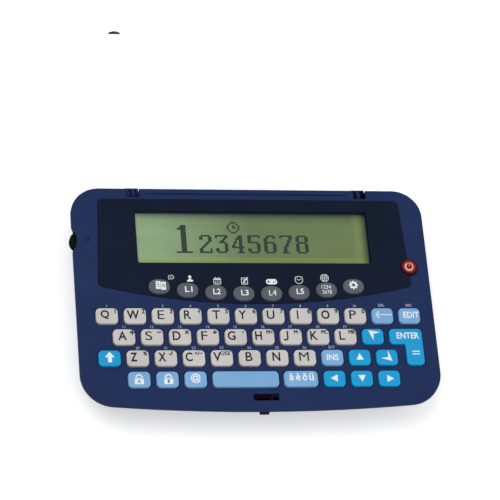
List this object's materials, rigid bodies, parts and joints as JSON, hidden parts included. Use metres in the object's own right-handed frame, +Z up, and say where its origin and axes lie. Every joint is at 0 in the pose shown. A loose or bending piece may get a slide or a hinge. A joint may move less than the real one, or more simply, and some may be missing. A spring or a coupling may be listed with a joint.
{
  "type": "electronic dictionary",
  "caption": "Pocket electronic dictionary: wide wedge-bellied case with full letter keyboard, recessed display, function buttons and a clear folding cover with a front latch.",
  "frame": {"origin": "on the table, under the middle of the case's outline; the open cover stands behind it", "axes": "+Z up, +Y towards the hinged back edge, +X to the right of someone who types"},
  "size_m": [0.1308, 0.1091, 0.0954],
  "materials": {
    "case_plastic": "fine satin texture",
    "panel_gloss": "gloss",
    "display": "liquid-crystal display, satin glass",
    "board": "solder mask",
    "grey_rubber": "satin",
    "cell_steel": "satin",
    "contact_metal": "satin",
    "screw_steel": "satin",
    "foot_rubber": "matte",
    "clear_cover": "clear, polished",
    "pin_steel": "polished",
    "red_plastic": "dark red satin",
    "spring_steel": "satin",
    "black_plastic": "satin",
    "red_gloss": "gloss",
    "key_grey": "satin",
    "key_light_blue": "satin",
    "key_cyan": "satin"
  },
  "bodies": {
    "case": {"upper_case": "case_plastic", "lower_case": "case_plastic", "display_panel": "panel_gloss", "lcd_module": "display", "circuit_board": "board", "key_mat": "grey_rubber", "batteries": "cell_steel", "battery_contacts": "contact_metal", "case_screws": "screw_steel", "rubber_feet": "foot_rubber", "hinge_pins": "pin_steel", "latch_spring": "spring_steel"},
    "lid": {"lid": "clear_cover"},
    "battery_cover": {"battery_cover": "case_plastic"},
    "release_button": {"release_button": "red_plastic"},
    "contrast_wheel": {"contrast_wheel": "black_plastic"},
    "power_button": {"power_button": "red_gloss"},
    "function_buttons": {"function_button_strip": "grey_rubber"},
    "key_q": {"key_q": "key_grey"},
    "key_w": {"key_w": "key_grey"},
    "key_e": {"key_e": "key_grey"},
    "key_r": {"key_r": "key_grey"},
    "key_t": {"key_t": "key_grey"},
    "key_y": {"key_y": "key_grey"},
    "key_u": {"key_u": "key_grey"},
    "key_i": {"key_i": "key_grey"},
    "key_o": {"key_o": "key_grey"},
    "key_p": {"key_p": "key_grey"},
    "key_back": {"key_back": "key_light_blue"},
    "key_edit": {"key_edit": "key_light_blue"},
    "key_a": {"key_a": "key_grey"},
    "key_s": {"key_s": "key_grey"},
    "key_d": {"key_d": "key_grey"},
    "key_f": {"key_f": "key_grey"},
    "key_g": {"key_g": "key_grey"},
    "key_h": {"key_h": "key_grey"},
    "key_j": {"key_j": "key_grey"},
    "key_k": {"key_k": "key_grey"},
    "key_l": {"key_l": "key_grey"},
    "key_home": {"key_home": "key_cyan"},
    "key_enter": {"key_enter": "key_cyan"},
    "key_shift": {"key_shift": "key_cyan"},
    "key_z": {"key_z": "key_grey"},
    "key_x": {"key_x": "key_grey"},
    "key_c": {"key_c": "key_grey"},
    "key_v": {"key_v": "key_grey"},
    "key_b": {"key_b": "key_grey"},
    "key_n": {"key_n": "key_grey"},
    "key_m": {"key_m": "key_grey"},
    "key_insert": {"key_insert": "key_light_blue"},
    "key_up": {"key_up": "key_cyan"},
    "key_end": {"key_end": "key_cyan"},
    "key_lock_letters": {"key_lock_letters": "key_light_blue"},
    "key_lock_numbers": {"key_lock_numbers": "key_light_blue"},
    "key_at": {"key_at": "key_light_blue"},
    "key_space": {"key_space": "key_light_blue"},
    "key_accents": {"key_accents": "key_light_blue"},
    "key_left": {"key_left": "key_cyan"},
    "key_down": {"key_down": "key_cyan"},
    "key_right": {"key_right": "key_cyan"}
  },
  "joints": [
    {"name": "lid_hinge", "type": "hinge", "parent": "case", "child": "lid", "pos_m": [0, 0.0414, 0.0131], "axis": [1, 0, 0], "range_deg": [0, 102]},
    {"name": "battery_cover_slide", "type": "slide", "parent": "case", "child": "battery_cover", "axis": [0, 1, 0], "range_m": [0, 0.03]},
    {"name": "release_button_press", "type": "slide", "parent": "case", "child": "release_button", "axis": [0, 1, 0], "range_m": [0, 0.001], "stiffness_N_per_m": 400, "springref_m": -0.0005, "deforming": ["latch_spring"]},
    {"name": "contrast_wheel_turn", "type": "hinge", "parent": "case", "child": "contrast_wheel", "pos_m": [-0.0618, 0.02295, 0.0123], "axis": [0, 0, 1], "range_deg": [-135, 135]},
    {"name": "power_button_press", "type": "slide", "parent": "case", "child": "power_button", "axis": [0, 0, -1], "range_m": [0, 0.0008], "stiffness_N_per_m": 600, "springref_m": -0.0004},
    {"name": "function_buttons_press", "type": "slide", "parent": "case", "child": "function_buttons", "axis": [0, 0, -1], "range_m": [0, 0.0008], "stiffness_N_per_m": 1200, "springref_m": -0.0004},
    {"name": "key_q_press", "type": "slide", "parent": "case", "child": "key_q", "axis": [0, 0, -1], "range_m": [0, 0.0008], "stiffness_N_per_m": 600, "springref_m": -0.0004},
    {"name": "key_w_press", "type": "slide", "parent": "case", "child": "key_w", "axis": [0, 0, -1], "range_m": [0, 0.0008], "stiffness_N_per_m": 600, "springref_m": -0.0004},
    {"name": "key_e_press", "type": "slide", "parent": "case", "child": "key_e", "axis": [0, 0, -1], "range_m": [0, 0.0008], "stiffness_N_per_m": 600, "springref_m": -0.0004},
    {"name": "key_r_press", "type": "slide", "parent": "case", "child": "key_r", "axis": [0, 0, -1], "range_m": [0, 0.0008], "stiffness_N_per_m": 600, "springref_m": -0.0004},
    {"name": "key_t_press", "type": "slide", "parent": "case", "child": "key_t", "axis": [0, 0, -1], "range_m": [0, 0.0008], "stiffness_N_per_m": 600, "springref_m": -0.0004},
    {"name": "key_y_press", "type": "slide", "parent": "case", "child": "key_y", "axis": [0, 0, -1], "range_m": [0, 0.0008], "stiffness_N_per_m": 600, "springref_m": -0.0004},
    {"name": "key_u_press", "type": "slide", "parent": "case", "child": "key_u", "axis": [0, 0, -1], "range_m": [0, 0.0008], "stiffness_N_per_m": 600, "springref_m": -0.0004},
    {"name": "key_i_press", "type": "slide", "parent": "case", "child": "key_i", "axis": [0, 0, -1], "range_m": [0, 0.0008], "stiffness_N_per_m": 600, "springref_m": -0.0004},
    {"name": "key_o_press", "type": "slide", "parent": "case", "child": "key_o", "axis": [0, 0, -1], "range_m": [0, 0.0008], "stiffness_N_per_m": 600, "springref_m": -0.0004},
    {"name": "key_p_press", "type": "slide", "parent": "case", "child": "key_p", "axis": [0, 0, -1], "range_m": [0, 0.0008], "stiffness_N_per_m": 600, "springref_m": -0.0004},
    {"name": "key_back_press", "type": "slide", "parent": "case", "child": "key_back", "axis": [0, 0, -1], "range_m": [0, 0.0008], "stiffness_N_per_m": 600, "springref_m": -0.0004},
    {"name": "key_edit_press", "type": "slide", "parent": "case", "child": "key_edit", "axis": [0, 0, -1], "range_m": [0, 0.0008], "stiffness_N_per_m": 600, "springref_m": -0.0004},
    {"name": "key_a_press", "type": "slide", "parent": "case", "child": "key_a", "axis": [0, 0, -1], "range_m": [0, 0.0008], "stiffness_N_per_m": 600, "springref_m": -0.0004},
    {"name": "key_s_press", "type": "slide", "parent": "case", "child": "key_s", "axis": [0, 0, -1], "range_m": [0, 0.0008], "stiffness_N_per_m": 600, "springref_m": -0.0004},
    {"name": "key_d_press", "type": "slide", "parent": "case", "child": "key_d", "axis": [0, 0, -1], "range_m": [0, 0.0008], "stiffness_N_per_m": 600, "springref_m": -0.0004},
    {"name": "key_f_press", "type": "slide", "parent": "case", "child": "key_f", "axis": [0, 0, -1], "range_m": [0, 0.0008], "stiffness_N_per_m": 600, "springref_m": -0.0004},
    {"name": "key_g_press", "type": "slide", "parent": "case", "child": "key_g", "axis": [0, 0, -1], "range_m": [0, 0.0008], "stiffness_N_per_m": 600, "springref_m": -0.0004},
    {"name": "key_h_press", "type": "slide", "parent": "case", "child": "key_h", "axis": [0, 0, -1], "range_m": [0, 0.0008], "stiffness_N_per_m": 600, "springref_m": -0.0004},
    {"name": "key_j_press", "type": "slide", "parent": "case", "child": "key_j", "axis": [0, 0, -1], "range_m": [0, 0.0008], "stiffness_N_per_m": 600, "springref_m": -0.0004},
    {"name": "key_k_press", "type": "slide", "parent": "case", "child": "key_k", "axis": [0, 0, -1], "range_m": [0, 0.0008], "stiffness_N_per_m": 600, "springref_m": -0.0004},
    {"name": "key_l_press", "type": "slide", "parent": "case", "child": "key_l", "axis": [0, 0, -1], "range_m": [0, 0.0008], "stiffness_N_per_m": 600, "springref_m": -0.0004},
    {"name": "key_home_press", "type": "slide", "parent": "case", "child": "key_home", "axis": [0, 0, -1], "range_m": [0, 0.0008], "stiffness_N_per_m": 600, "springref_m": -0.0004},
    {"name": "key_enter_press", "type": "slide", "parent": "case", "child": "key_enter", "axis": [0, 0, -1], "range_m": [0, 0.0008], "stiffness_N_per_m": 600, "springref_m": -0.0004},
    {"name": "key_shift_press", "type": "slide", "parent": "case", "child": "key_shift", "axis": [0, 0, -1], "range_m": [0, 0.0008], "stiffness_N_per_m": 600, "springref_m": -0.0004},
    {"name": "key_z_press", "type": "slide", "parent": "case", "child": "key_z", "axis": [0, 0, -1], "range_m": [0, 0.0008], "stiffness_N_per_m": 600, "springref_m": -0.0004},
    {"name": "key_x_press", "type": "slide", "parent": "case", "child": "key_x", "axis": [0, 0, -1], "range_m": [0, 0.0008], "stiffness_N_per_m": 600, "springref_m": -0.0004},
    {"name": "key_c_press", "type": "slide", "parent": "case", "child": "key_c", "axis": [0, 0, -1], "range_m": [0, 0.0008], "stiffness_N_per_m": 600, "springref_m": -0.0004},
    {"name": "key_v_press", "type": "slide", "parent": "case", "child": "key_v", "axis": [0, 0, -1], "range_m": [0, 0.0008], "stiffness_N_per_m": 600, "springref_m": -0.0004},
    {"name": "key_b_press", "type": "slide", "parent": "case", "child": "key_b", "axis": [0, 0, -1], "range_m": [0, 0.0008], "stiffness_N_per_m": 600, "springref_m": -0.0004},
    {"name": "key_n_press", "type": "slide", "parent": "case", "child": "key_n", "axis": [0, 0, -1], "range_m": [0, 0.0008], "stiffness_N_per_m": 600, "springref_m": -0.0004},
    {"name": "key_m_press", "type": "slide", "parent": "case", "child": "key_m", "axis": [0, 0, -1], "range_m": [0, 0.0008], "stiffness_N_per_m": 600, "springref_m": -0.0004},
    {"name": "key_insert_press", "type": "slide", "parent": "case", "child": "key_insert", "axis": [0, 0, -1], "range_m": [0, 0.0008], "stiffness_N_per_m": 600, "springref_m": -0.0004},
    {"name": "key_up_press", "type": "slide", "parent": "case", "child": "key_up", "axis": [0, 0, -1], "range_m": [0, 0.0008], "stiffness_N_per_m": 600, "springref_m": -0.0004},
    {"name": "key_end_press", "type": "slide", "parent": "case", "child": "key_end", "axis": [0, 0, -1], "range_m": [0, 0.0008], "stiffness_N_per_m": 600, "springref_m": -0.0004},
    {"name": "key_lock_letters_press", "type": "slide", "parent": "case", "child": "key_lock_letters", "axis": [0, 0, -1], "range_m": [0, 0.0008], "stiffness_N_per_m": 600, "springref_m": -0.0004},
    {"name": "key_lock_numbers_press", "type": "slide", "parent": "case", "child": "key_lock_numbers", "axis": [0, 0, -1], "range_m": [0, 0.0008], "stiffness_N_per_m": 600, "springref_m": -0.0004},
    {"name": "key_at_press", "type": "slide", "parent": "case", "child": "key_at", "axis": [0, 0, -1], "range_m": [0, 0.0008], "stiffness_N_per_m": 600, "springref_m": -0.0004},
    {"name": "key_space_press", "type": "slide", "parent": "case", "child": "key_space", "axis": [0, 0, -1], "range_m": [0, 0.0008], "stiffness_N_per_m": 600, "springref_m": -0.0004},
    {"name": "key_accents_press", "type": "slide", "parent": "case", "child": "key_accents", "axis": [0, 0, -1], "range_m": [0, 0.0008], "stiffness_N_per_m": 600, "springref_m": -0.0004},
    {"name": "key_left_press", "type": "slide", "parent": "case", "child": "key_left", "axis": [0, 0, -1], "range_m": [0, 0.0008], "stiffness_N_per_m": 600, "springref_m": -0.0004},
    {"name": "key_down_press", "type": "slide", "parent": "case", "child": "key_down", "axis": [0, 0, -1], "range_m": [0, 0.0008], "stiffness_N_per_m": 600, "springref_m": -0.0004},
    {"name": "key_right_press", "type": "slide", "parent": "case", "child": "key_right", "axis": [0, 0, -1], "range_m": [0, 0.0008], "stiffness_N_per_m": 600, "springref_m": -0.0004}
  ]
}
